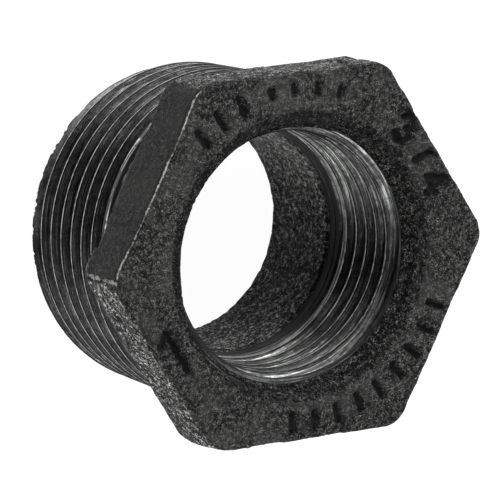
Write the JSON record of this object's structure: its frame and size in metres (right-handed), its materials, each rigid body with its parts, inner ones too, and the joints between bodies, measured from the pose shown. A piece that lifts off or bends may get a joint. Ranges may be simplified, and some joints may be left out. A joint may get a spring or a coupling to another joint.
{
  "type": "hex bushing",
  "caption": "Black malleable iron hex bushing: 1 in taper pipe thread outside, 3/4 in taper pipe thread inside the hex head.",
  "frame": {"origin": "centre of the tail end's face, on the common axis of both threads; the part stands on this face", "axes": "+Z along the axis of both threads, from the tail end up to the face of the hex head; +X through a corner of the hexagon and +Y square to one of its flats"},
  "size_m": [0.0408, 0.0362, 0.0256],
  "materials": {
    "cast_iron": "black sand-cast skin with machined threads"
  },
  "bodies": {
    "root": {"bushing": "cast_iron"}
  },
  "joints": []
}
